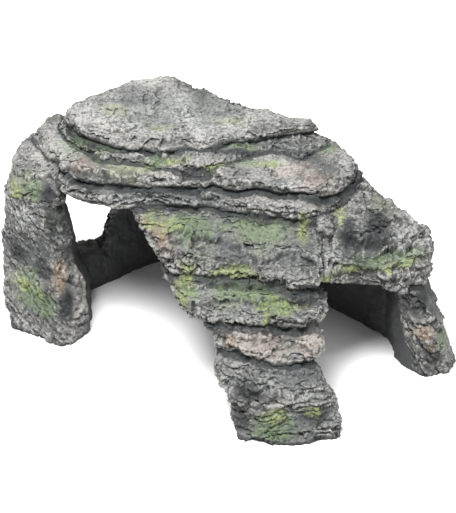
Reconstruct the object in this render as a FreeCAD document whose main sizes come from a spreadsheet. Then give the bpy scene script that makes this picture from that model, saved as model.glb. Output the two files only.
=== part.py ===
"""Hollow resin cave ornament: a stacked-slate arch with a stepped ramp, two doorways and a rear window.

The ornament is built up from stones that meet on flat bedding planes. Every stone is a body whose plan
outlines (courses) are drawn on level planes and lofted; the planes' heights come from the Dims sheet. A
moulding core is then taken out of the stones round the chamber, and each stone is trimmed by the neighbour
it butts on. X runs to the right, Y to the back and Z up, and the origin is under the middle of the ornament,
on its base plane.
"""
import FreeCAD, Part
import os

import Sketcher

# Driving dimensions in millimetres, and degrees for the two slopes.
DIMENSIONS = {
    "base_level": 0.0,
    "foot_split": 16.0,        # between the two foot stones
    "foot_joint": 32.0,        # top of the foot
    "step_joint": 42.0,        # top of the step stone
    "tier_joint": 58.0,        # between the two ramp tiers
    "roof_joint": 79.0,        # underside of the roof
    "lamina_joint": 86.0,      # between the roof's two slabs
    "seat_joint": 94.0,        # top of the ledge
    "cap_joint": 97.5,         # underside of the capstone
    "cap_rim": 104.0,          # capstone's lip at its middle
    "cap_top": 107.0,          # capstone's upper face at its middle
    "cap_pitch": 10.0,         # slope of the capstone, rising to the back
    "cap_roll": 2.5,           # slope of the capstone, falling to the right
    "sill_height": 25.0,       # rear window's sill
    "wall_head": 46.0,         # top of the right wall and pillar
    "shoulder_joint": 68.0,    # top of the left pillar
    "lip_rise": 3.0,           # height of a stone's lip above its bedding plane
    "undercut": 4.0,           # how far the bed stands back from the lip
    "core_overrun": 2.0,       # how far the moulding core runs past the base
    "centre_x": 0.0,           # middle of the ornament in plan, measured once the stones are made
    "centre_y": 0.0,
}


def make_sheet(doc):
    """The spreadsheet that holds the driving dimensions, one alias a cell."""
    sheet = doc.addObject("Spreadsheet::Sheet", "Dims")
    for row, (alias, value) in enumerate(DIMENSIONS.items(), start=1):
        sheet.set(f"A{row}", alias)
        sheet.set(f"B{row}", str(value))
        sheet.setAlias(f"B{row}", alias)
    doc.recompute()
    return sheet


doc = FreeCAD.newDocument("cave_ornament")
dims = make_sheet(doc)


def size(alias):
    """Value of one cell of the Dims sheet."""
    return float(dims.get(alias))


def grown(outline, margin):
    """The outline moved outwards by about margin, by stretching it about the middle of its box."""
    xs, ys = [p[0] for p in outline], [p[1] for p in outline]
    mid_x, mid_y = (min(xs) + max(xs)) / 2, (min(ys) + max(ys)) / 2
    stretch_x = 1 + 2 * margin / (max(xs) - min(xs))
    stretch_y = 1 + 2 * margin / (max(ys) - min(ys))
    return [(mid_x + (x - mid_x) * stretch_x, mid_y + (y - mid_y) * stretch_y) for x, y in outline]


def moved(outline, dx, dy):
    """The outline shifted in plan."""
    return [(x + dx, y + dy) for x, y in outline]


def course(body, name, outline, level, slope=None):
    """A closed outline on a plane whose height is bound to the sheet. slope is (pitch, roll, pivot in plan)."""
    sketch = body.newObject("Sketcher::SketchObject", name)
    plane = next(f for f in body.Origin.OriginFeatures if f.Role == "XY_Plane")
    sketch.AttachmentSupport = [(plane, "")]
    sketch.MapMode = "FlatFace"
    pivot, turn = (0.0, 0.0), FreeCAD.Rotation()
    if slope:
        pitch, roll, pivot = slope
        turn = FreeCAD.Rotation(FreeCAD.Vector(0, 1, 0), size(roll)) * FreeCAD.Rotation(
            FreeCAD.Vector(1, 0, 0), size(pitch)
        )
    corners = [FreeCAD.Vector(x - pivot[0], y - pivot[1], 0) for x, y in outline]
    count = len(corners)
    for i in range(count):
        sketch.addGeometry(Part.LineSegment(corners[i], corners[(i + 1) % count]), False)
    for i in range(count):
        sketch.addConstraint(Sketcher.Constraint("Coincident", i, 2, (i + 1) % count, 1))
    sketch.AttachmentOffset = FreeCAD.Placement(FreeCAD.Vector(pivot[0], pivot[1], 0), turn)
    sketch.setExpression("AttachmentOffset.Base.z", level)
    return sketch


def stone(label, *courses):
    """A body lofted through its courses, each (outline, level) or (outline, level, slope), bottom first."""
    body = doc.addObject("PartDesign::Body", label + "_body")
    sketches = [course(body, f"{label}_course_{i}", *c) for i, c in enumerate(courses, start=1)]
    loft = body.newObject("PartDesign::AdditiveLoft", label + "_loft")
    loft.Profile = sketches[0]
    loft.Sections = sketches[1:]
    loft.Ruled = True
    body.Tip = loft
    return body


def trimmed(base, *tools):
    """base with the tools taken out of it, one after another."""
    for i, tool in enumerate(tools, start=1):
        cut = doc.addObject("Part::Cut", f"{base.Label}_trim_{i}")
        cut.Base, cut.Tool = base, tool
        base = cut
    return base


def slab(label, lip, bed, head, lip_level, undercut, top_inset, top_shift):
    """A roof slab: an undercut bed, a lip and an upper face that stands back from the lip."""
    return stone(
        label,
        (grown(lip, -undercut), f"Dims.{bed}"),
        (lip, lip_level),
        (moved(grown(lip, -top_inset), 0, top_shift), f"Dims.{head}"),
    )


# The chamber, as the moulding core leaves it. Points run from the left pillar along the back of the ramp to
# the right pillar, then back round the rear wall.
def make_core():
    floor_plan = [
        (-78, 12), (-40, -20), (0, -38), (40, -38), (75, -32), (93, -13), (89, 4),
        (69, 24), (40, 54), (12, 80), (-15, 88), (-42, 79), (-80, 50),
    ]
    foot_plan = [
        (-82, 18), (-42, -14), (0, -28), (40, -28), (74, -24), (91, -8), (88, 6),
        (69, 26), (42, 54), (12, 80), (-15, 89), (-44, 79), (-82, 50),
    ]
    step_plan = [
        (-85, 22), (-45, -5), (0, -16), (40, -16), (70, -10), (90, -4), (88, 8),
        (70, 27), (42, 54), (12, 80), (-15, 89), (-46, 79), (-85, 50),
    ]
    tier_plan = [
        (-87, 27), (-48, 8), (0, 2), (38, 0), (60, -4), (82, 2), (82, 14),
        (67, 30), (42, 54), (12, 80), (-15, 89), (-46, 79), (-87, 52),
    ]
    roof_plan = [
        (-90, 36), (-55, 30), (0, 26), (34, 24), (50, 24), (62, 24), (62, 30),
        (54, 42), (38, 56), (10, 76), (-15, 85), (-46, 76), (-88, 58),
    ]
    return stone(
        "core",
        (floor_plan, "Dims.base_level - Dims.core_overrun"),
        (foot_plan, "Dims.foot_joint"),
        (step_plan, "Dims.step_joint"),
        (tier_plan, "Dims.tier_joint"),
        (roof_plan, "Dims.roof_joint"),
    )


def make_capstone():
    lip = [
        (-92, 72), (-83, 58), (-71, 49), (-58, 42), (-34, 41), (-20, 42), (6, 51), (28, 58), (50, 65),
        (50, 68), (39, 73), (18, 79), (1, 87), (-13, 96), (-28, 103), (-45, 103), (-60, 98), (-80, 85),
    ]
    slope = ("cap_pitch", "cap_roll", (-22, 72))
    return stone(
        "capstone",
        (grown(lip, -size("undercut")), "Dims.cap_joint"),
        (lip, "Dims.cap_rim", slope),
        (grown(lip, -5), "Dims.cap_top", slope),
    )


def make_ledge_slab():
    lip = [
        (-110, 73), (-103, 57), (-93, 36), (-76, 28), (-58, 24), (-42, 22), (-15, 23), (1, 20), (17, 18),
        (33, 14), (49, 10), (61, 17), (69, 26), (71, 36), (67, 48), (60, 59), (50, 68), (36, 78),
        (18, 87), (2, 96), (-14, 103), (-30, 107), (-48, 107), (-64, 103), (-86, 96), (-104, 88),
    ]
    lip_level = "Dims.lamina_joint + 1.4 * Dims.lip_rise"
    return slab("ledge_slab", lip, "lamina_joint", "seat_joint", lip_level, size("undercut"), 5, 3)


def make_seat_slab():
    lip = [
        (-95, 73), (-89, 60), (-80, 48), (-70, 39), (-54, 33), (-39, 31), (-26, 29), (-12, 28), (-1, 33),
        (10, 41), (22, 46), (34, 44), (43, 38), (48, 46), (56, 50), (54, 60), (40, 70), (18, 79),
        (1, 87), (-13, 95), (-28, 100), (-45, 100), (-60, 96), (-80, 88), (-92, 82),
    ]
    lip_level = "Dims.seat_joint + 0.8 * Dims.lip_rise"
    return slab("seat_slab", lip, "seat_joint", "cap_joint", lip_level, size("undercut") * 0.6, 2, 1)


def make_under_slab():
    lip = [
        (-101, 54), (-97, 39), (-89, 27), (-75, 19), (-58, 16), (-42, 17), (-15, 16), (6, 9), (22, 6),
        (38, 3), (49, 5), (61, 14), (69, 25), (69, 36), (64, 48), (54, 60), (36, 73), (18, 82),
        (2, 91), (-14, 98), (-30, 101), (-48, 101), (-64, 97), (-84, 90), (-98, 80), (-102, 66),
    ]
    lip_level = "Dims.roof_joint + Dims.lip_rise"
    return slab("under_slab", lip, "roof_joint", "lamina_joint", lip_level, size("undercut") / 2, 2, 1)


def make_ramp_tier_upper():
    head = [
        (-54, 18), (-40, 16), (-26, 14), (6, 8), (38, 2), (51, 7),
        (53, 30), (30, 36), (0, 38), (-40, 38), (-54, 32),
    ]
    face = [
        (-41, -5), (-32, -12), (-20, -16), (1, -18), (22, -22), (48, -27),
        (54, 20), (30, 30), (0, 32), (-36, 30), (-42, 10),
    ]
    lip = [
        (-35, -14), (-26, -19), (-4, -22), (22, -26), (38, -33), (48, -31),
        (54, 10), (30, 20), (0, 22), (-30, 20), (-36, 0),
    ]
    return stone(
        "ramp_tier_upper",
        (grown(lip, -size("undercut")), "Dims.tier_joint"),
        (lip, "Dims.tier_joint + Dims.lip_rise"),
        (face, "Dims.tier_joint + 3 * Dims.lip_rise"),
        (head, "Dims.roof_joint"),
    )


def make_ramp_tier_lower():
    head = [
        (-37, -8), (-28, -16), (0, -22), (22, -25), (38, -28), (47, -25),
        (48, -6), (44, 10), (0, 12), (-33, 6),
    ]
    lip = [
        (-29, -28), (-20, -36), (-4, -40), (14, -41), (32, -41), (48, -41),
        (52, -34), (46, 2), (0, 4), (-27, -4),
    ]
    foot = [
        (-20, -35), (-11, -42), (1, -45), (22, -44), (38, -44), (47, -42),
        (51, -32), (44, -2), (0, 0), (-19, -8),
    ]
    return stone(
        "ramp_tier_lower",
        (grown(foot, -size("undercut")), "Dims.step_joint"),
        (foot, "Dims.step_joint + Dims.lip_rise"),
        (lip, "Dims.tier_joint - 2.6 * Dims.lip_rise"),
        (head, "Dims.tier_joint"),
    )


def make_step_stone():
    head = [
        (-12, -38), (0, -43), (22, -44), (38, -43), (47, -41),
        (44, -30), (40, -10), (0, -10), (-11, -22),
    ]
    lip = [
        (-6, -49), (4, -56), (16, -60), (32, -62), (46, -59),
        (52, -53), (44, -16), (0, -16), (-9, -34),
    ]
    foot = [
        (-4, -50), (6, -58), (22, -63), (34, -65), (46, -60),
        (48, -50), (42, -18), (0, -18), (-7, -36),
    ]
    return stone(
        "step_stone",
        (grown(foot, -size("undercut")), "Dims.foot_joint"),
        (foot, "Dims.foot_joint + 0.8 * Dims.lip_rise"),
        (lip, "Dims.step_joint - 1.4 * Dims.lip_rise"),
        (head, "Dims.step_joint"),
    )


def make_foot_stone_upper():
    head = [
        (-5, -48), (-1, -60), (11, -66), (24, -67), (38, -66), (46, -58),
        (42, -46), (38, -24), (4, -24), (-4, -34),
    ]
    brow = [
        (-6, -52), (-4, -64), (8, -70), (22, -72), (38, -72), (48, -66),
        (43, -52), (39, -28), (4, -28), (-5, -38),
    ]
    lip = [
        (-6, -55), (-5, -66), (4, -73), (20, -76), (38, -76), (53, -72),
        (48, -57), (40, -32), (4, -32), (-5, -42),
    ]
    foot = [
        (0, -56), (1, -69), (10, -75), (22, -78), (38, -78), (55, -74),
        (51, -60), (42, -36), (5, -36), (0, -46),
    ]
    return stone(
        "foot_stone_upper",
        (foot, "Dims.foot_split"),
        (lip, "Dims.foot_split + 1.6 * Dims.lip_rise"),
        (brow, "Dims.foot_joint - 1.8 * Dims.lip_rise"),
        (head, "Dims.foot_joint"),
    )


def make_foot_stone_lower():
    head = [
        (0, -56), (1, -70), (16, -79), (37, -79), (56, -75), (53, -62), (46, -40), (6, -40),
    ]
    waist = [
        (1, -60), (3, -77), (18, -84), (38, -84), (58, -78), (56, -64), (48, -42), (6, -42),
    ]
    sole = [
        (2, -62), (5, -84), (22, -89), (38, -88), (58, -82), (58, -64), (49, -44), (7, -44),
    ]
    return stone(
        "foot_stone_lower",
        (sole, "Dims.base_level"),
        (waist, "Dims.foot_split / 2"),
        (head, "Dims.foot_split"),
    )


def make_right_shoulder():
    head = [
        (50, 18), (55, 17), (60, 17), (68, 20), (71, 26),
        (69, 35), (63, 45), (56, 54), (46, 62), (42, 50), (46, 30),
    ]
    brow = [
        (47, -15), (59, -7), (72, 0), (89, 8), (96, 18),
        (93, 28), (82, 40), (68, 52), (46, 66), (36, 50), (44, 14),
    ]
    lip = [
        (49, -29), (60, -18), (80, -14), (100, -4), (111, 11),
        (107, 22), (92, 38), (74, 52), (46, 67), (36, 48), (44, 6),
    ]
    chin = [
        (70, -14), (78, -16), (87, -18), (105, -8), (114, 8),
        (112, 20), (98, 36), (78, 48), (48, 64), (38, 46), (52, 14),
    ]
    bed = [
        (84, -8), (88, -12), (93, -15), (103, -8), (109, 2),
        (108, 16), (96, 30), (78, 42), (50, 58), (42, 44), (60, 20),
    ]
    return stone(
        "right_shoulder",
        (bed, "Dims.wall_head"),
        (chin, "Dims.wall_head + 2 * Dims.lip_rise"),
        (lip, "Dims.tier_joint + Dims.lip_rise"),
        (brow, "Dims.roof_joint - 2.6 * Dims.lip_rise"),
        (head, "Dims.lamina_joint"),
    )


def make_right_pillar():
    head = [
        (88, -4), (91, -13), (98, -14), (103, -12), (105, -5), (106, 4), (104, 12), (99, 20), (93, 20), (86, 10),
    ]
    waist = [
        (90, -11), (95, -19), (101, -24), (108, -25), (114, -22), (118, -12), (116, 2), (109, 13), (99, 17), (87, 8),
    ]
    sole = [
        (91, -13), (97, -22), (104, -28), (111, -30), (118, -28), (123, -16), (122, 0), (113, 13), (100, 15), (88, 6),
    ]
    return stone(
        "right_pillar",
        (sole, "Dims.base_level"),
        (waist, "Dims.wall_head / 2"),
        (head, "Dims.wall_head"),
    )


def make_left_pillar():
    head = [
        (-126, 50), (-116, 38), (-104, 30), (-98, 27), (-94, 28),
        (-92, 33), (-93, 46), (-97, 60), (-108, 70), (-122, 66),
    ]
    waist = [
        (-125, 33), (-114, 24), (-102, 17), (-95, 14), (-90, 17),
        (-85, 25), (-87, 46), (-93, 59), (-108, 64), (-124, 52),
    ]
    knee = [
        (-125, 20), (-114, 13), (-101, 5), (-94, 3), (-88, 6),
        (-78, 18), (-80, 48), (-90, 61), (-106, 60), (-123, 42),
    ]
    sole = [
        (-121, 15), (-111, 9), (-99, -1), (-92, -4), (-87, -2),
        (-76, 14), (-76, 46), (-86, 60), (-104, 56), (-119, 38),
    ]
    return stone(
        "left_pillar",
        (sole, "Dims.base_level"),
        (knee, "Dims.sill_height * 2 / 3"),
        (waist, "Dims.sill_height * 3 / 2"),
        (head, "Dims.shoulder_joint"),
    )


def make_left_shoulder():
    head = [
        (-118, 66), (-111, 54), (-104, 46), (-94, 42), (-90, 48), (-92, 70), (-101, 84), (-112, 80),
    ]
    brow = [
        (-123, 57), (-114, 43), (-102, 33), (-93, 29), (-88, 37), (-89, 64), (-98, 85), (-114, 81),
    ]
    bed = [
        (-125, 52), (-116, 40), (-104, 31), (-96, 28), (-92, 34), (-94, 60), (-101, 79), (-116, 76),
    ]
    return stone(
        "left_shoulder",
        (bed, "Dims.shoulder_joint"),
        (brow, "Dims.roof_joint - Dims.lip_rise / 2"),
        (head, "Dims.lamina_joint + Dims.lip_rise"),
    )


def make_window_sill():
    foot = [(-86, 42), (-68, 52), (-76, 70), (-97, 58)]
    head = [(-88, 44), (-71, 54), (-77, 66), (-98, 56)]
    return stone("window_sill", (foot, "Dims.base_level"), (head, "Dims.sill_height"))


def make_back_wall_left():
    foot = [(-68, 52), (-42, 70), (-14, 78), (-14, 100), (-48, 93), (-76, 70)]
    sill = [(-71, 54), (-43, 71), (-14, 79), (-14, 101), (-49, 94), (-77, 66)]
    belt = [(-60, 60), (-42, 71), (-14, 79), (-14, 101), (-46, 93), (-66, 73)]
    head = [(-34, 70), (-30, 71), (-14, 77), (-14, 93), (-30, 93), (-42, 88)]
    return stone(
        "back_wall_left",
        (foot, "Dims.base_level"),
        (sill, "Dims.sill_height"),
        (belt, "Dims.wall_head"),
        (head, "Dims.roof_joint"),
    )


def make_back_wall_centre():
    foot = [(-14, 78), (10, 70), (34, 48), (47, 61), (18, 89), (-14, 100)]
    belt = [(-14, 79), (12, 71), (36, 48), (49, 63), (20, 91), (-14, 101)]
    head = [(-14, 77), (8, 66), (32, 50), (43, 64), (16, 80), (-14, 93)]
    return stone(
        "back_wall_centre",
        (foot, "Dims.base_level"),
        (belt, "Dims.wall_head"),
        (head, "Dims.roof_joint"),
    )


def make_back_wall_right():
    foot = [(34, 48), (64, 18), (84, -2), (104, 13), (82, 32), (47, 61)]
    head = [(36, 48), (66, 20), (84, 2), (106, 15), (84, 36), (49, 63)]
    return stone("back_wall_right", (foot, "Dims.base_level"), (head, "Dims.wall_head"))


def build():
    """Every stone, trimmed by the core and by the stones that it butts on, as {node: object}."""
    core = make_core()
    ledge, under = make_ledge_slab(), make_under_slab()
    tier = make_ramp_tier_upper()
    right_shoulder, right_pillar = make_right_shoulder(), make_right_pillar()
    left_shoulder, left_pillar = make_left_shoulder(), make_left_pillar()
    wall_left, wall_centre = make_back_wall_left(), make_back_wall_centre()
    return {
        "capstone": make_capstone(),
        "seat_slab": make_seat_slab(),
        "ledge_slab": ledge,
        "under_slab": under,
        "ramp_tier_upper": trimmed(tier, core),
        "ramp_tier_lower": trimmed(make_ramp_tier_lower(), core),
        "step_stone": trimmed(make_step_stone(), core),
        "foot_stone_upper": trimmed(make_foot_stone_upper(), core),
        "foot_stone_lower": make_foot_stone_lower(),
        "right_shoulder": trimmed(right_shoulder, core, under, ledge, tier),
        "right_pillar": trimmed(right_pillar, core),
        "left_shoulder": trimmed(left_shoulder, core, under, ledge),
        "left_pillar": trimmed(left_pillar, core),
        "window_sill": trimmed(make_window_sill(), core, left_pillar),
        "back_wall_left": trimmed(wall_left, core),
        "back_wall_centre": trimmed(wall_centre, core, right_shoulder),
        "back_wall_right": trimmed(make_back_wall_right(), core, right_pillar),
    }


def place(bodies, nodes):
    """Moves the bodies so that the middle of all the nodes' box stands over the origin."""
    doc.recompute()
    box = FreeCAD.BoundBox()
    for node in nodes.values():
        box.add(node.Shape.optimalBoundingBox(True, False))
    for alias, value in (("centre_x", box.Center.x), ("centre_y", box.Center.y)):
        dims.set(dims.getCellFromAlias(alias), str(round(value, 3)))
    for body in bodies:
        body.setExpression("Placement.Base.x", "-Dims.centre_x")
        body.setExpression("Placement.Base.y", "-Dims.centre_y")
    doc.recompute()
    return box


nodes = build()
box = place([o for o in doc.Objects if o.TypeId == "PartDesign::Body"], nodes)
for name, node in nodes.items():
    node.Label = name

for thing in doc.Objects:
    if "Invalid" in thing.State or "Error" in thing.State:
        raise RuntimeError(f"{thing.Label} failed: {thing.State}")
for name, node in nodes.items():
    if node.Shape.isNull() or not node.Shape.isValid() or len(node.Shape.Solids) != 1:
        raise RuntimeError(f"{name} isn't one valid solid")

os.makedirs("parts", exist_ok=True)
for name, node in nodes.items():
    node.Shape.exportStep(f"parts/{name}.step")
    print(f"{name}: {node.Shape.Volume / 1000:.1f} cm3")
print(f"overall {box.XLength:.1f} x {box.YLength:.1f} x {box.ZLength:.1f} mm about {box.Center}")
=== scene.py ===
import math

import bmesh
import bpy
import numpy as np
from mathutils import Matrix, Vector


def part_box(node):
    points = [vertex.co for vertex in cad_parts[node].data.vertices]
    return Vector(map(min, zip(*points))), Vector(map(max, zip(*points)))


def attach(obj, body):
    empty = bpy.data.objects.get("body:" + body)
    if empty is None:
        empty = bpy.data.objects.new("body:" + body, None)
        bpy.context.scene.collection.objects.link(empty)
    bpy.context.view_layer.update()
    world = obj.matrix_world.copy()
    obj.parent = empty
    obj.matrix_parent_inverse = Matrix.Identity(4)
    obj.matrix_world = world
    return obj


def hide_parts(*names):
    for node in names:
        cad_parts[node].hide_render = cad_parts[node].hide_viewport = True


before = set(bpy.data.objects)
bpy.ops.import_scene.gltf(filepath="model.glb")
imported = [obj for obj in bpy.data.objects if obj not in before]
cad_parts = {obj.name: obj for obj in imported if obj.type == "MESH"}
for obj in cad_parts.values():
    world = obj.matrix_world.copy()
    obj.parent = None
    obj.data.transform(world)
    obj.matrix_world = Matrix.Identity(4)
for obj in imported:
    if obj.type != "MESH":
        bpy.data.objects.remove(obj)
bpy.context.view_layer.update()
mm = 0.001


# what a node tree is written with

class Val:                                              # a node's output, for use in Python expressions
    def __init__(self, net, node, socket):
        self.net, self.node, self.socket = net, node, socket

    def other(self, name):                              # another output of the same node
        return Val(self.net, self.node, self.node.outputs[name])

    def maths(self, operation, *rest):
        return self.net.add("ShaderNodeMath", {"operation": operation}, dict(enumerate((self,) + rest)))

    def __add__(self, other):
        return self.maths("ADD", other)

    def __sub__(self, other):
        return self.maths("SUBTRACT", other)

    def __rsub__(self, other):
        return self.maths("MULTIPLY_ADD", -1.0, other)

    def __mul__(self, other):
        return self.maths("MULTIPLY", other)

    def __rmul__(self, other):
        return self.maths("MULTIPLY", other)

    def __truediv__(self, other):
        return self.maths("DIVIDE", other)


class Net:                                              # a node tree that nodes are added to
    def __init__(self, tree):
        self.tree = tree

    def add(self, kind, settings=None, inputs=None, out=0):
        node = self.tree.nodes.new(kind)
        for key, value in (settings or {}).items():
            setattr(node, key, value)
        for key, value in (inputs or {}).items():
            live = [s for s in node.inputs if s.name == key and s.enabled]
            socket = node.inputs[key] if isinstance(key, int) else live[0]
            if isinstance(value, Val):
                self.tree.links.new(value.socket, socket)
            else:
                socket.default_value = value
        return Val(self, node, node.outputs[out] if node.outputs else None)

    def vec(self, operation, *ends, out=0):
        return self.add("ShaderNodeVectorMath", {"operation": operation}, dict(enumerate(ends)), out)

    def scaled(self, vector, factor):
        return self.add("ShaderNodeVectorMath", {"operation": "SCALE"}, {"Vector": vector, "Scale": factor})

    def dot(self, a, b):
        return self.vec("DOT_PRODUCT", a, b, out="Value")

    def noise(self, where, grain, detail, rough=0.5):           # grain is its size, in the unit of where
        at = {"Vector": where, "Scale": 1.0 / grain, "Detail": detail, "Roughness": rough}
        return self.add("ShaderNodeTexNoise", None, at, "Fac")

    def ease(self, value, low, high, start=0.0, end=1.0):       # a smooth step from low to high
        ends = {"Value": value, "From Min": low, "From Max": high, "To Min": start, "To Max": end}
        return self.add("ShaderNodeMapRange", {"interpolation_type": "SMOOTHSTEP"}, ends)

    def mix(self, factor, a, b):                                # two colours
        return self.add("ShaderNodeMix", {"data_type": "RGBA"}, {0: factor, 6: a, 7: b}, 2)


# the slate relief, one tree for every stone

reliefSizes = {            # what a stone starts from: Layer and Dish in millimetres, the rest are factors
    "Layer": 7.0,          # thickness of a lamina
    "Rim": 1.3,            # how far laminae jut out or stand back
    "Crack": 1.6,          # depth of the cracks
    "Terrace": 0.35,       # how far upper faces break into treads
    "Crust": 1.0,          # flaky weathering of the sides
    "Lump": 1.0,           # broad unevenness
    "Top": 0.5,            # weathering of the upper face
    "Facet": 0.0,          # tilt of the chipped faces
    "Grain": 0.15,         # fine grit
    "Dish": 0.0,           # depth of the hollow in the middle of the upper face
    "Seed": 0.0,           # which part of the noises a stone is cut from
}
reliefTurns = {"Bedding": (0.0, 0.0, 1.0), "Middle": (0.0, 0.0, 0.0), "Reach": (1.0, 1.0, 1.0)}
noises = {                 # grain and reach in millimetres, detail, roughness
    "warp": (22.0, 9.0, 3.0, 0.55),                     # all the stones bent out of true
    "waver": (6.0, 3.0, 3.0, 0.55),
    "bend": (46.0, 16.0, 3.0, 0.5),                     # bedding planes that rise and fall
    "ripple": (11.0, 3.5, 3.0, 0.6),
    "jut": (20.0, 5.0, 5.0, 0.6),                       # how far a lamina stands out along its edge
    "ragged": (6.5, 2.8, 4.0, 0.62),
    "nibble": (4.0, 1.0, 4.0, 0.55),
    "lump": (26.0, 3.6, 3.0, 0.5),
    "weather": (8.0, 1.6, 5.0, 0.58),
    "grit": (2.2, 1.0, 4.0, 0.72),
}
seedStep = (37.1, 17.3, 11.9)                           # how far apart the stones lie in the noises
layerStep = (13.1, 25.7, 7.9)                           # and the laminae
skin = 0.7 * mm                                         # rays start this far out, and seams swell by it
roundingPasses = 12
finePasses, broadPasses = 4, 34                         # blurs that fine and broad hollows are felt from
insideCalm = 0.92                                       # how much of the relief the bare inside is spared
feelerCount = 14                                        # rays that feel how enclosed a spot is
feelerReach = 110 * mm
feelerSpread = 0.97                                     # below 1, so that no direction comes to nothing
tuckedNear, tuckedFar = 3 * mm, 18 * mm                 # from here to there a spot stops being tucked in
lipNear, lipFar = 4 * mm, 15 * mm                       # and stops being sheltered by the stone above it
shelterRays = ((0.0, -0.4, 1.0), (0.4, 0.9, 1.0), (-0.4, 0.9, 1.0), (0.0, 0.2, 1.0))
chamberMiddle = (-0.004, 0.016, 0.030)


def spreadDirections(count):                            # evenly spread over a ball
    golden = math.pi * (3 - math.sqrt(5))
    out = []
    for i in range(count):
        z = 1 - (2 * i + 1) / count
        r = math.sqrt(1 - z * z)
        out.append((r * math.cos(i * golden), r * math.sin(i * golden), z))
    return out


def makeReliefTree(heap):
    tree = bpy.data.node_groups.new("slateRelief", "GeometryNodeTree")
    face = tree.interface
    face.new_socket("Geometry", in_out="INPUT", socket_type="NodeSocketGeometry")
    face.new_socket("Geometry", in_out="OUTPUT", socket_type="NodeSocketGeometry")
    for name, value in reliefSizes.items():
        face.new_socket(name, in_out="INPUT", socket_type="NodeSocketFloat").default_value = value
    for name, value in reliefTurns.items():
        face.new_socket(name, in_out="INPUT", socket_type="NodeSocketVector").default_value = value
    face.new_socket("Paint", in_out="INPUT", socket_type="NodeSocketMaterial")
    net = Net(tree)
    entry = net.add("NodeGroupInput")
    seed = entry.other("Seed")
    bedding = net.vec("NORMALIZE", entry.other("Bedding"))
    position = net.add("GeometryNodeInputPosition")
    normal = net.add("GeometryNodeInputNormal")

    def keep(shape, name, value):
        return net.add("GeometryNodeStoreNamedAttribute", {"data_type": "FLOAT", "domain": "POINT"},
                       {"Geometry": shape, "Name": name, "Value": value})

    def blurred(value, passes):
        return net.add("GeometryNodeBlurAttribute", None, {"Value": value, "Iterations": passes})

    # how enclosed each spot is, felt with rays against the whole heap of stones and the ground
    asIs = {"transform_space": "ORIGINAL"}
    heapShape = net.add("GeometryNodeObjectInfo", asIs, {"Object": heap}, "Geometry")
    raised = net.vec("ADD", position, net.scaled(normal, skin))

    def cast(way, reach):
        ray = {"Source Position": raised, "Ray Direction": way, "Ray Length": reach}
        return net.add("GeometryNodeRaycast", None, {"Target Geometry": heapShape, **ray}, "Is Hit")

    felt, tucked = 0.0, 0.0
    for way in spreadDirections(feelerCount):
        spread = net.vec("ADD", normal, tuple(feelerSpread * w for w in way))
        hit = cast(net.vec("NORMALIZE", spread), feelerReach)
        felt = hit + felt
        tucked = hit * net.ease(hit.other("Hit Distance"), tuckedNear, tuckedFar, 1.0, 0.0) + tucked
    enclosed = blurred(felt / feelerCount, 5)
    tucked = blurred(tucked / feelerCount, 8)
    sheltered = 0.0
    for lean in shelterRays:
        way = Vector(lean).normalized()
        hit = cast(way, lipFar)
        near = hit * net.ease(hit.other("Hit Distance"), lipNear, lipFar, 0.4, 0.0)
        sheltered = near * net.ease(net.dot(normal, tuple(way)), 0.0, 0.2) + sheltered
    sheltered = blurred(sheltered, 6)
    toMiddle = net.vec("NORMALIZE", net.vec("SUBTRACT", chamberMiddle, position))
    facing = net.ease(net.dot(normal, toMiddle), -0.05, 0.25)
    inward = net.ease(enclosed, 0.45, 0.62) * facing
    inward = inward.maths("MAXIMUM", net.ease(enclosed, 0.80, 0.93))     # and the beds that no one sees
    inward = blurred(inward, 3)
    shape = keep(entry, "enclosed", enclosed)
    shape = keep(shape, "inward", inward)
    shape = keep(shape, "tucked", tucked)
    shape = keep(shape, "sheltered", sheltered)

    # corners rounded over, but not where two stones meet, and all the stones warped as one
    blur = {"data_type": "FLOAT_VECTOR"}
    soft = net.add("GeometryNodeBlurAttribute", blur, {"Value": position, "Iterations": roundingPasses})
    met = net.ease(net.add("GeometryNodeInputNamedAttribute", None, {"Name": "enclosed"}), 0.26, 0.50)
    full = net.vec("ADD", position, net.scaled(normal, skin))
    soft = net.add("ShaderNodeMix", {"data_type": "VECTOR"}, {0: met, 4: soft, 5: full}, 1)
    shape = net.add("GeometryNodeSetPosition", None, {"Geometry": shape, "Position": soft})

    # everything below is in millimetres
    here = net.scaled(position, 1 / mm)

    def drift(name):                                    # a noise in three directions
        grain, reach, detail, roughness = noises[name]
        at = {"Vector": here, "Scale": 1.0 / grain, "Detail": detail, "Roughness": roughness}
        cloud = net.add("ShaderNodeTexNoise", None, at, "Color")
        return net.scaled(net.vec("SUBTRACT", cloud, (0.5, 0.5, 0.5)), reach)

    def swing(where, name):                             # a noise that swings to either side of nothing
        grain, reach, detail, roughness = noises[name]
        return (net.noise(where, grain, detail, roughness) - 0.5) * reach

    rough = 1.0 - net.add("GeometryNodeInputNamedAttribute", None, {"Name": "inward"}) * insideCalm
    warp = net.vec("ADD", drift("warp"), net.scaled(drift("waver"), rough))
    shape = net.add("GeometryNodeSetPosition", None, {"Geometry": shape, "Offset": net.scaled(warp, mm)})
    spot = net.vec("ADD", here, net.scaled(seedStep, seed))
    height = net.dot(spot, bedding)
    flat = net.vec("SUBTRACT", spot, net.scaled(bedding, height))
    upward = net.dot(normal, bedding)
    top = net.ease(upward, 0.45, 0.85)
    sideways = net.vec("SUBTRACT", normal, net.scaled(bedding, upward))
    bent = height + (swing(spot, "bend") + swing(spot, "ripple"))

    def stretched(squeeze, shift=0.0):                  # bedding pressed together, so noise runs along it
        return net.vec("ADD", flat, net.scaled(bedding, bent * squeeze + shift))

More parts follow.
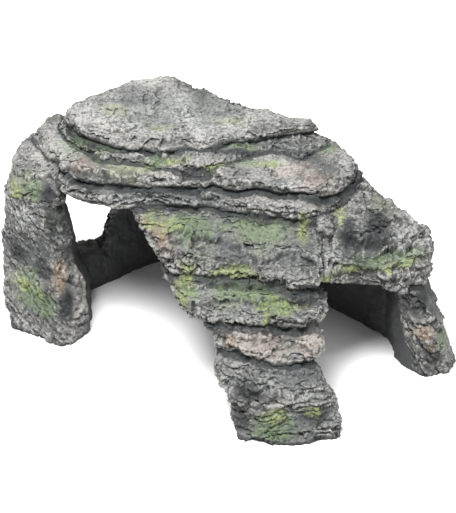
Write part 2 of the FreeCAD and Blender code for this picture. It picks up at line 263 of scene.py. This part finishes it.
    # laminae of uneven thickness, each jutting its own way
    layer, rim, cracked = entry.other("Layer"), entry.other("Rim"), entry.other("Crack")
    uneven = net.add("ShaderNodeTexNoise", {"noise_dimensions": "1D"},
                     {"W": height / (layer * 1.7) + seed, "Scale": 1.0, "Detail": 1.0}, "Fac")
    rise = bent / layer + (uneven - 0.5) * 1.6
    number = rise.maths("FLOOR")
    part = rise - number
    own = net.vec("ADD", flat, net.scaled(layerStep, number))
    jut = swing(own, "jut") * rim
    gaping = net.ease(net.noise(own, 17.0, 3.0, 0.6), 0.44, 0.58)       # where a seam stands open
    seam = net.ease(part, 0.0, 0.12, 1.0, 0.0).maths("MAXIMUM", net.ease(part, 0.80, 1.0))
    side = jut - seam * gaping * cracked * 1.3

    # cracks that wander along the bedding, and crust between them
    def crease(where, grain, width):
        away = (net.noise(where, grain, 3.0, 0.55) - 0.5).maths("ABSOLUTE")
        return net.ease(away, 0.0, width, 1.0, 0.0)

    wide = crease(stretched(3.4), grain=26.0, width=0.035)
    narrow = crease(stretched(3.0, 80.0), grain=11.0, width=0.05)

    def flakes(where, grain, reach, step):              # noise cut into plates with sharp edges
        level = net.noise(where, grain, 5.0, 0.58) * (reach / step)
        plate = level.maths("FLOOR")
        edge = net.ease(level - plate, 0.62, 0.92)
        return (plate + edge - reach / step * 0.5) * step

    ledges = flakes(stretched(3.6, 31.0), grain=17.0, reach=8.0, step=1.7) * 0.75
    ledges = ledges + flakes(stretched(4.4, 67.0), grain=8.0, reach=5.0, step=1.1) * 0.5
    crust = ledges + swing(stretched(1.2), "ragged") * rim + swing(stretched(3.0), "nibble")
    mood = net.ease(net.noise(here, 26.0, 3.0), 0.36, 0.64, 0.3, 1.25)    # calm and rough areas
    side = side + crust * entry.other("Crust") * mood - (wide * 1.3 + narrow * 0.4) * cracked * 0.8

    # upper faces that break into treads
    tread = net.ease(part, 0.70, 0.86)
    step = (tread - part + 0.36) * layer * entry.other("Terrace")
    groove = net.ease(part, 0.52, 0.70) * net.ease(part, 0.70, 0.80, 1.0, 0.0)
    step = step - groove * gaping * cracked * 0.5

    def chips(size, share):                             # flat faces tilted at random, one for each cell
        cell = net.add("ShaderNodeTexVoronoi", None, {"Vector": spot, "Scale": 1.0 / size}, "Position")
        lean = net.vec("SUBTRACT", cell.other("Color"), (0.5, 0.5, 0.5))
        return net.dot(net.vec("SUBTRACT", spot, cell), lean) * entry.other("Facet") * share

    # what every face has: lumps, weathering, chips and grit
    lumps = swing(here, "lump") * entry.other("Lump")
    elsewhere = net.vec("ADD", spot, (50.0, 0.0, 0.0))
    weather = swing(stretched(1.3, 11.0), "weather") - narrow * 0.2
    weather = weather + flakes(elsewhere, grain=20.0, reach=6.0, step=1.3) * 0.6
    grit = swing(spot, "grit") * entry.other("Grain") * 6.0
    grit = grit * net.ease(net.noise(here, 14.0, 3.0), 0.35, 0.65, 0.4, 1.2)
    chipped = chips(size=15.0, share=2.2) + chips(size=6.0, share=2.0)
    swell = 0.6                                         # makes up for what the remesh and the blur take off
    out = lumps + swell + weather * entry.other("Top") + chipped + grit
    centre = net.vec("DIVIDE", net.vec("SUBTRACT", here, entry.other("Middle")), entry.other("Reach"))
    centre = net.vec("MULTIPLY", centre, (1.0, 1.0, 0.0))
    fromMiddle = net.vec("LENGTH", centre, out="Value")
    hollow = net.ease(fromMiddle, 0.15, 1.0, 1.0, 0.0) * entry.other("Dish") * top

    push = net.vec("ADD", net.scaled(normal, out * rough), net.scaled(sideways, side * rough))
    push = net.vec("ADD", push, net.scaled(bedding, (step * top - hollow) * rough))
    shape = net.add("GeometryNodeSetPosition", None, {"Geometry": shape, "Offset": net.scaled(push, mm)})
    ground = net.vec("MAXIMUM", position, (-9.0, -9.0, 0.0))             # soles stay flat
    shape = net.add("GeometryNodeSetPosition", None, {"Geometry": shape, "Position": ground})

    # what the paint follows
    def sunk(passes):                                   # millimetres below the blurred surface
        around = net.add("GeometryNodeBlurAttribute", blur, {"Value": position, "Iterations": passes})
        return net.dot(net.vec("SUBTRACT", around, position), normal) * (1 / mm)

    shape = keep(shape, "sunkFine", sunk(finePasses))
    shape = keep(shape, "sunkBroad", sunk(broadPasses))
    shape = keep(shape, "upward", net.add("ShaderNodeSeparateXYZ", None, {"Vector": normal}, "Z"))
    shape = net.add("GeometryNodeSetShadeSmooth", None, {"Geometry": shape})
    shape = net.add("GeometryNodeRealizeInstances", None, {"Geometry": shape})
    shape = net.add("GeometryNodeSetMaterial", None, {"Geometry": shape, "Material": entry.other("Paint")})
    net.add("NodeGroupOutput", None, {"Geometry": shape})
    return tree


# the stone's tints, and the colours of painted light: the palest greys give painted highlights, the
# near-black and the dark bluish grey give painted shade, and the near-black casting colour darkens the
# cave's inside as bare casting and painted shade
paintLook = {
    "dark": (0.041, 0.043, 0.042, 1), "mid": (0.100, 0.103, 0.098, 1), "warm": (0.165, 0.160, 0.150, 1),
    "highlightDab": (0.30, 0.31, 0.30, 1), "olive": (0.17, 0.18, 0.10, 1), "blush": (0.20, 0.148, 0.125, 1),
    "slateShade": (0.046, 0.051, 0.054, 1), "moss": (0.080, 0.122, 0.052, 1), "rust": (0.20, 0.12, 0.06, 1),
    "shadeAndStain": (0.012, 0.0145, 0.0155, 1), "edge": (0.35, 0.34, 0.32, 1), "verdant": (0.105, 0.150, 0.070, 1),
    "lime": (0.205, 0.235, 0.080, 1), "castingAndShade": (0.036, 0.037, 0.039, 1),
}
coverage = {                                            # how far a coat hides what is under it, at most
    "mid": 1, "warm": 1, "highlightDab": 0.5, "olive": 0.55, "blush": 0.5, "slateShade": 0.9, "moss": 0.75,
    "rust": 0.6, "shadeAndStain": 1, "edge": 1, "verdant": 0.4, "lime": 0.72, "castingAndShade": 1,
}
surfaceLook = {"smoothest": 0.62, "roughest": 0.86, "specular": 0.35, "bump": 0.5, "bumpDepth": 0.25 * mm}


def makePaint():
    material = bpy.data.materials.new("paintedSlate")
    material.use_nodes = True
    material.node_tree.nodes.clear()
    net = Net(material.node_tree)
    place = net.scaled(net.add("ShaderNodeTexCoord", out="Object"), 1 / mm)

    def read(name):
        return net.add("ShaderNodeAttribute", {"attribute_name": name}, out="Fac")

    fine, broad, upward = read("sunkFine"), read("sunkBroad"), read("upward")
    tucked, sheltered, inward = read("tucked"), read("sheltered"), read("inward")
    cloud = net.noise(place, 30.0, 4.0)
    blotch = net.noise(place, 7.0, 6.0, 0.65)
    speck = net.noise(place, 1.5, 3.0, 0.7)
    streak = net.noise(net.vec("MULTIPLY", place, (0.45, 1.0, 4.0)), 8.0, 5.0, 0.65)

    def patch(name, soft=1.1):                          # where a touch has caught: a tint, a painted highlight or a dab of painted shade
        return net.ease(read(name) + (blotch - 0.5) * soft, 0.25, 0.85)

    def coat(under, name, amount):
        return net.mix(amount * coverage[name], under, paintLook[name])

    # the stone's own colours, then the touches: tints, painted highlight dabs and painted shade dabs
    colour = coat(paintLook["dark"], "mid", net.ease(blotch * 0.5 + streak * 0.5, 0.38, 0.62))
    colour = coat(colour, "warm", net.ease(cloud * 0.5 + speck * 0.5, 0.42, 0.64))
    # painted highlight dabs on rims, tops and raised faces
    colour = coat(colour, "highlightDab", patch("highlightDab") * net.ease(speck, 0.34, 0.56))
    colour = coat(colour, "olive", patch("olive") * net.ease(streak, 0.36, 0.56))
    colour = coat(colour, "blush", patch("blush") * net.ease(speck, 0.30, 0.50))
    # painted shade: dark bluish grey dabs on front faces and in crevices
    slateShade = patch("slateShade", 0.8) * net.ease(speck, 0.30, 0.60, 1.0, 0.55)
    colour = coat(colour, "slateShade", slateShade)
    dots = net.noise(place, 1.2, 3.0, 0.65)
    mossy = patch("moss").maths("MAXIMUM", patch("lime") * 0.8) * net.ease(dots, 0.38, 0.53)
    colour = coat(colour, "moss", mossy)
    colour = coat(colour, "rust", patch("rust") * net.ease(dots, 0.38, 0.52))

    # painted shade in the hollows, in the creases and under the stones above, with random stain, then
    # painted highlights on raised edges and painted light on upward faces
    # painted shade under the stone above, where the upward rays soon meet it
    under = net.ease(sheltered + (blotch - 0.5) * 0.7, 0.10, 0.50)
    # painted shade: dark dabs along the crevices and under the rims, together with the painted shade under
    # the stone above
    shadowDab = patch("shadowDab", 0.8).maths("MAXIMUM", under)
    # painted shade in the creases, where short rays soon meet another stone
    shut = net.ease(tucked + (blotch - 0.5) * 0.25, 0.12, 0.44)
    # painted shade in fine and broad hollows
    sunk = net.ease(fine + (speck - 0.5) * 0.22, 0.02, 0.24) * 0.68
    deep = net.ease(broad + (blotch - 0.5) * 0.8, 0.15, 1.3) * 0.9
    # random stain, the stone's own colour
    stain = net.ease(cloud * 0.5 + streak * 0.5, 0.38, 0.52, 0.3, 0.0)
    # all of it together: painted shade, with random stain
    shadeAndStain = sunk.maths("MAXIMUM", deep).maths("MAXIMUM", shut * 0.9).maths("MAXIMUM", stain)
    shadeAndStain = shadeAndStain.maths("MAXIMUM", shadowDab * 0.95) * net.ease(speck, 0.52, 0.72, 1.0, 0.72)
    colour = coat(colour, "shadeAndStain", shadeAndStain)
    # painted highlights: raised edges, fine and broad, made pale
    raised = net.ease(-1.0 * fine + (speck - 0.5) * 0.30, 0.06, 0.34) * 0.6
    proud = net.ease(-1.0 * broad + (blotch - 0.5) * 1.6, 0.5, 2.0) * 0.4
    # painted light from above: upward faces made paler
    paintedToplight = net.ease(upward + (speck - 0.5) * 0.7 + (cloud - 0.5) * 1.4, 0.75, 1.3) * 0.5
    paintedHighlight = raised.maths("MAXIMUM", proud).maths("MAXIMUM", paintedToplight)
    paintedHighlight = paintedHighlight * (1.0 - shut * 0.8) * (1.0 - stain * 0.6)
    paintedHighlight = paintedHighlight * (1.0 - shadowDab * 0.75) * (1.0 - slateShade * 0.8) * (1.0 - mossy * 0.55)
    # the light grey coat of the painted highlights and of the painted light from above
    colour = coat(colour, "edge", paintedHighlight * net.ease(speck, 0.34, 0.60))
    colour = coat(colour, "verdant", mossy * net.ease(blotch, 0.40, 0.60))
    limy = patch("lime", 1.7) * net.ease(net.noise(place, 1.4, 4.0, 0.7) + raised * 0.2, 0.42, 0.66)
    colour = coat(colour, "lime", limy)
    # near-black inside the cave, where it is enclosed and faces the middle: the bare dark casting together
    # with painted shade
    colour = coat(colour, "castingAndShade", inward)

    grit = net.noise(place, 0.7, 3.0, 0.7) + speck * 0.6
    look = surfaceLook
    bump = net.add("ShaderNodeBump", None, {
        "Strength": look["bump"], "Distance": look["bumpDepth"], "Height": grit,
    })
    shader = net.add("ShaderNodeBsdfPrincipled", None, {
        "Base Color": colour, "Roughness": net.ease(speck, 0.2, 0.8, look["smoothest"], look["roughest"]),
        "Normal": bump, "Specular IOR Level": look["specular"],
    })
    net.add("ShaderNodeOutputMaterial", None, {"Surface": shader})
    return material


# Each stone has its relief, how far its bedding leans in degrees, and its touches: tints of colour, painted
# highlights and painted shade, each of them (across, along, half length, half width). The first two are
# shares of the stone's box, where along is the depth of a slab, which is seen from above, and the height of
# the rest. The last two are millimetres.
stones = {
    "capstone": {
        "Seed": 1, "Layer": 6.0, "Rim": 0.9, "Terrace": 0.15, "Top": 0.22, "Dish": 3.5, "lean": (9, -2),
        "olive": [(0.2, 0.5, 9, 6), (0.38, 0.3, 9, 5), (0.65, 0.45, 10, 5)],
        "slateShade": [(0.3, 0.72, 16, 9)],
        "highlightDab": [(0.45, 0.45, 60, 20), (0.3, 0.9, 13, 5), (0.12, 0.5, 5, 9)],
    },
    "seat_slab": {
        "Seed": 17, "Layer": 4.0, "Crack": 2.4, "Crust": 1.2, "Top": 1.7, "lean": (4, -1),
        "slateShade": [(0.6, 0.25, 60, 12)],
        "shadowDab": [(0.68, 0.22, 45, 3)],
        "moss": [(0.08, 0.42, 8, 16), (0.2, 0.25, 12, 7), (0.38, 0.1, 8, 5), (0.68, 0.3, 10, 4)],
        "lime": [(0.45, 0.1, 7, 3)],
    },
    "ledge_slab": {
        "Seed": 2, "Layer": 8.0, "Terrace": 0.4, "Top": 0.45, "lean": (3, 0),
        "moss": [(0.15, 0.46, 11, 14), (0.25, 0.31, 12, 5), (0.7, 0.26, 11, 5), (0.91, 0.4, 6, 6)],
        "lime": [(0.38, 0.24, 5, 3), (0.43, 0.25, 5, 3), (0.57, 0.22, 8, 3), (0.73, 0.25, 6, 3)],
        "blush": [(0.18, 0.27, 9, 6), (0.8, 0.2, 12, 6), (0.87, 0.08, 10, 7)],
        "olive": [(0.32, 0.2, 17, 7)],
        "highlightDab": [(0.44, 0.13, 26, 2), (0.8, 0.06, 24, 3), (0.95, 0.2, 4, 8), (0.11, 0.36, 5, 7)],
    },
    "under_slab": {
        "Seed": 3, "Layer": 5.6, "Crack": 2.0, "lean": (2, 0),
        "slateShade": [(0.42, 0.75, 36, 3)],
        "lime": [(0.83, 0.3, 3, 3)],
        "highlightDab": [(0.42, 0.35, 40, 2), (0.8, 0.4, 25, 2)],
    },
    "left_shoulder": {
        "Seed": 4, "lean": (8, -22),
        "slateShade": [(0.65, 0.2, 6, 8)],
        "shadowDab": [(0.75, 0.45, 6, 6)],
        "moss": [(0.45, 0.42, 8, 7)],
        "lime": [(0.2, 0.2, 4, 5)],
    },
    "left_pillar": {
        "Seed": 5, "Layer": 12.0, "Rim": 0.8, "Crack": 1.0, "Crust": 0.6, "lean": (14, 34),
        "slateShade": [(0.28, 0.62, 13, 10), (0.45, 0.3, 14, 9)],
        "shadowDab": [(0.2, 0.62, 6, 5), (0.5, 0.54, 6, 5), (0.75, 0.3, 5, 9), (0.6, 0.9, 5, 10)],
        "moss": [(0.33, 0.38, 9, 10), (0.52, 0.3, 6, 7)],
        "lime": [(0.22, 0.4, 6, 4), (0.45, 0.38, 3, 3)],
        "rust": [(0.68, 0.53, 4, 9)],
        "olive": [(0.6, 0.93, 5, 8)],
        "highlightDab": [(0.25, 0.9, 7, 6), (0.35, 0.05, 9, 6)],
    },
    "window_sill": {"Seed": 6, "Layer": 9.0, "Rim": 1.8, "Crack": 2.4, "Lump": 2.0, "lean": (0, 8)},
    "back_wall_left": {
        "Seed": 7, "Layer": 14.0, "Rim": 2.6, "Crack": 2.6, "Crust": 0.6, "Lump": 3.6, "lean": (0, -6),
        "slateShade": [(0.6, 0.4, 26, 9)],
        "moss": [(0.75, 0.12, 16, 6)],
        "highlightDab": [(0.35, 0.55, 16, 5), (0.8, 0.75, 10, 5)],
    },
    "back_wall_centre": {
        "Seed": 8, "Layer": 16.0, "Rim": 2.6, "Crack": 2.6, "Crust": 0.6, "Lump": 3.6, "lean": (0, 3),
        "slateShade": [(0.4, 0.72, 24, 10)],
        "moss": [(0.3, 0.5, 9, 9)],
        "lime": [(0.3, 0.52, 5, 4)],
        "highlightDab": [(0.7, 0.35, 18, 7)],
        "blush": [(0.6, 0.12, 12, 5)],
    },
    "back_wall_right": {
        "Seed": 9, "Layer": 12.0, "Rim": 2.6, "Crack": 2.6, "Crust": 0.6, "Lump": 3.6, "lean": (0, 7),
        "slateShade": [(0.6, 0.45, 20, 7)],
        "moss": [(0.25, 0.3, 12, 6)],
        "highlightDab": [(0.45, 0.75, 18, 4)],
    },
    "right_shoulder": {
        "Seed": 10, "Layer": 12.0, "Rim": 1.0, "Facet": 0.16, "Crust": 0.7, "lean": (6, 14),
        "slateShade": [(0.45, 0.7, 20, 8)],
        "shadowDab": [(0.33, 0.68, 5, 8), (0.54, 0.68, 8, 5), (0.52, 0.55, 12, 4), (0.4, 0.35, 9, 4)],
        "lime": [(0.16, 0.38, 8, 2), (0.36, 0.36, 8, 1.5), (0.72, 0.33, 15, 1.6), (0.28, 0.84, 3, 2)],
        "moss": [(0.5, 0.4, 30, 2)],
        "olive": [(0.6, 0.8, 7, 5)],
        "highlightDab": [(0.75, 0.6, 8, 7), (0.2, 0.55, 12, 3), (0.85, 0.85, 10, 5)],
    },
    "right_pillar": {
        "Seed": 11, "Layer": 10.0, "Rim": 0.9, "Crust": 0.7, "lean": (10, 48),
        "shadowDab": [(0.4, 0.85, 9, 6), (0.67, 0.25, 6, 5)],
        "moss": [(0.8, 0.4, 4, 7)],
        "rust": [(0.48, 0.52, 6, 4), (0.62, 0.37, 3, 3)],
        "highlightDab": [(0.88, 0.4, 4, 10)],
    },
    "ramp_tier_upper": {
        "Seed": 12, "Layer": 8.0, "Crack": 2.2, "Top": 0.9, "lean": (4, 2),
        "slateShade": [(0.6, 0.75, 50, 13)],
        "moss": [(0.3, 0.85, 16, 5), (0.66, 0.84, 20, 4)],
        "lime": [
            (0.12, 0.92, 9, 4), (0.24, 0.87, 5, 3), (0.88, 0.88, 3, 4),
            (0.54, 0.2, 13, 3), (0.3, 0.2, 5, 3),
        ],
        "rust": [(0.07, 0.88, 4, 3), (0.16, 0.72, 6, 4)],
        "blush": [(0.2, 0.55, 6, 6)],
        "olive": [(0.66, 0.8, 14, 6), (0.37, 0.52, 8, 5)],
        "highlightDab": [(0.6, 0.12, 36, 2), (0.97, 0.5, 5, 6)],
    },
    "ramp_tier_lower": {
        "Seed": 13, "Layer": 7.0, "Crack": 2.2, "Top": 0.9, "lean": (2, -2),
        "slateShade": [(0.55, 0.75, 38, 9)],
        "moss": [(0.52, 0.84, 19, 4), (0.18, 0.7, 6, 5)],
        "lime": [(0.17, 0.9, 5, 3), (0.14, 0.65, 4, 5), (0.7, 0.6, 14, 3), (0.65, 0.38, 3, 3)],
        "olive": [(0.42, 0.7, 10, 6)],
        "highlightDab": [(0.55, 0.38, 30, 2)],
    },
    "step_stone": {
        "Seed": 14, "Layer": 5.0, "Top": 0.7, "lean": (3, 0),
        "rust": [(0.2, 0.85, 4, 3)],
        "blush": [(0.46, 0.65, 17, 6), (0.84, 0.7, 7, 5)],
        "highlightDab": [(0.55, 0.4, 26, 2)],
    },
    "foot_stone_upper": {
        "Seed": 15, "Layer": 9.0, "Rim": 1.0, "Crust": 0.8, "lean": (3, 3),
        "slateShade": [(0.48, 0.85, 32, 7), (0.3, 0.4, 16, 7)],
        "shadowDab": [(0.28, 0.42, 8, 5)],
        "highlightDab": [(0.12, 0.55, 5, 5), (0.43, 0.7, 6, 3), (0.72, 0.4, 12, 6)],
    },
    "foot_stone_lower": {
        "Seed": 16, "Layer": 8.0, "Rim": 0.9, "Crust": 0.8, "lean": (0, -3),
        "slateShade": [(0.5, 0.5, 26, 8)],
        "shadowDab": [(0.12, 0.6, 6, 8), (0.76, 0.8, 9, 4)],
        "moss": [(0.4, 0.42, 13, 6)],
        "lime": [(0.42, 0.82, 6, 4), (0.75, 0.88, 4, 3)],
        "highlightDab": [(0.92, 0.35, 4, 6)],
    },
}
slabs = ("capstone", "seat_slab", "ledge_slab")
touches = ("slateShade", "shadowDab", "moss", "lime", "rust", "blush", "olive", "highlightDab")
touchFalloff = 0.8                                      # how fast a touch fades out from its middle
stoneGrain = 0.68 * mm                                  # edge of the remeshed squares
weldReach = 0.001 * mm
groundSize, groundDrop = 0.6, 1 * mm                    # the ground that the rays meet


def mergedCopy(name):                                   # a CAD node's shape as one connected mesh
    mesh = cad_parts[name].data.copy()
    work = bmesh.new()
    work.from_mesh(mesh)
    bmesh.ops.remove_doubles(work, verts=work.verts, dist=weldReach)
    work.to_mesh(mesh)
    work.free()
    mesh.materials.clear()
    piece = bpy.data.objects.new(name + "_stone", mesh)
    bpy.context.scene.collection.objects.link(piece)
    return piece


def makeHeap():                                         # every stone and the ground, for rays to meet
    work = bmesh.new()
    for name in stones:
        work.from_mesh(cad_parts[name].data)
    below = Matrix.Translation((0, 0, -groundDrop))
    bmesh.ops.create_grid(work, x_segments=1, y_segments=1, size=groundSize, matrix=below)
    mesh = bpy.data.meshes.new("heap")
    work.to_mesh(mesh)
    work.free()
    heap = bpy.data.objects.new("heap", mesh)
    bpy.context.scene.collection.objects.link(heap)
    return heap


def beddingOf(lean):                                    # upright, leant forward by x, right by y degrees
    x, y = (math.radians(a) for a in lean)
    return Vector((math.sin(y), -math.sin(x), math.cos(x) * math.cos(y))).normalized()


def setInputs(modifier, values):
    for item in modifier.node_group.interface.items_tree:
        if item.in_out == "INPUT" and item.name in values:
            modifier[item.identifier] = values[item.name]


def bake(piece):                                        # the modifiers' result as a plain mesh
    graph = bpy.context.evaluated_depsgraph_get()
    mesh = bpy.data.meshes.new_from_object(piece.evaluated_get(graph), depsgraph=graph)
    piece.modifiers.clear()
    piece.data = mesh


def brushOn(piece, name, low, high):                    # how strong each touch of colour is at a point
    mesh, slab = piece.data, name in slabs
    points = np.zeros(len(mesh.vertices) * 3, np.float32)
    mesh.vertices.foreach_get("co", points)
    points = points.reshape(-1, 3) - low
    share = points / (high - low)
    along = 1 if slab else 2
    if slab:                                            # fades out on the underside
        seen = np.clip(share[:, 2] * 3 + 0.5, 0, 1)
    elif name.startswith("back_wall"):
        seen = 1
    else:                                               # fades out at the back
        seen = np.clip((0.85 - share[:, 1]) * 4, 0, 1)
    for touch in touches:
        strength = np.zeros(len(points), np.float32)
        for x, y, halfLength, halfWidth in stones[name].get(touch, ()):
            aside = (points[:, 0] - x * (high - low)[0]) / (halfLength * mm)
            off = (points[:, along] - y * (high - low)[along]) / (halfWidth * mm)
            strength = np.maximum(strength, np.exp(-touchFalloff * (aside ** 2 + off ** 2)))
        mesh.attributes.new(touch, "FLOAT", "POINT").data.foreach_set("value", strength * seen)


def makeStones():
    heap = makeHeap()
    tree = makeReliefTree(heap)
    paint = makePaint()
    for name, look in stones.items():
        piece = mergedCopy(name)
        low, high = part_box(name)
        melt = piece.modifiers.new("remesh", "REMESH")
        melt.mode, melt.voxel_size = "VOXEL", stoneGrain
        relief = piece.modifiers.new("relief", "NODES")
        relief.node_group = tree
        values = {key: float(value) for key, value in look.items() if key in reliefSizes}
        values["Bedding"] = beddingOf(look["lean"])
        values["Middle"] = (low + high) / 2 / mm
        values["Reach"] = (high - low) / 2 / mm
        values["Paint"] = paint
        setInputs(relief, {**reliefSizes, **values})
        bake(piece)
        brushOn(piece, name, np.array(low), np.array(high))
        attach(piece, "root")
        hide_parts(name)
        print(f"{piece.name}: {len(piece.data.polygons)} faces")
    bpy.data.objects.remove(heap)
    print("stones done")


stageLook = {
    "floor": (0.88, 0.88, 0.88, 1), "floorSize": 6.0, "floorRoughness": 0.9,
    "world": (1, 1, 1, 1), "worldStrength": 0.48, "lampAim": (0, 0, 0.05),
    "lamps": {                                          # place and size in metres, watts
        "keyLight": ((-0.25, -0.15, 1.05), 0.6, 27.0),
        "fillLight": ((0.8, -0.5, 0.5), 0.8, 5.0),
    },
}


def makeStage():
    look = stageLook
    bpy.ops.mesh.primitive_plane_add(size=look["floorSize"])
    floor = bpy.context.object
    floor.name = "floor"
    material = bpy.data.materials.new("paleFloor")
    material.use_nodes = True
    shader = material.node_tree.nodes["Principled BSDF"]
    shader.inputs["Base Color"].default_value = look["floor"]
    shader.inputs["Roughness"].default_value = look["floorRoughness"]
    floor.data.materials.append(material)
    world = bpy.data.worlds.new("studio")
    world.use_nodes = True
    sky = world.node_tree.nodes["Background"]
    sky.inputs["Color"].default_value = look["world"]
    sky.inputs["Strength"].default_value = look["worldStrength"]
    bpy.context.scene.world = world
    for name, (place, size, power) in look["lamps"].items():
        lamp = bpy.data.lights.new(name, "AREA")
        lamp.size, lamp.energy = size, power
        light = bpy.data.objects.new(name, lamp)
        light.location = place
        light.rotation_euler = (Vector(look["lampAim"]) - Vector(place)).to_track_quat("-Z", "Y").to_euler()
        bpy.context.scene.collection.objects.link(light)
    print("stage done")


cameraLook = {                                          # millimetres and degrees
    "aim": (1.5, -9.0, 57.7), "elevation": 34.0, "distance": 920.0, "lens": 120.0, "sensor": 36.0,
}


def makeCamera():
    up = math.radians(cameraLook["elevation"])
    aim = Vector(cameraLook["aim"]) * mm
    back = Vector((0, -math.cos(up), math.sin(up)))
    data = bpy.data.cameras.new("camera")
    data.lens, data.sensor_width = cameraLook["lens"], cameraLook["sensor"]
    camera = bpy.data.objects.new("camera", data)
    camera.location = aim + back * cameraLook["distance"] * mm
    camera.rotation_euler = (-back).to_track_quat("-Z", "Y").to_euler()
    bpy.context.scene.collection.objects.link(camera)
    bpy.context.scene.camera = camera
    bpy.context.scene.view_settings.view_transform = "Standard"
    print("camera done")


makeStones()
makeStage()
makeCamera()
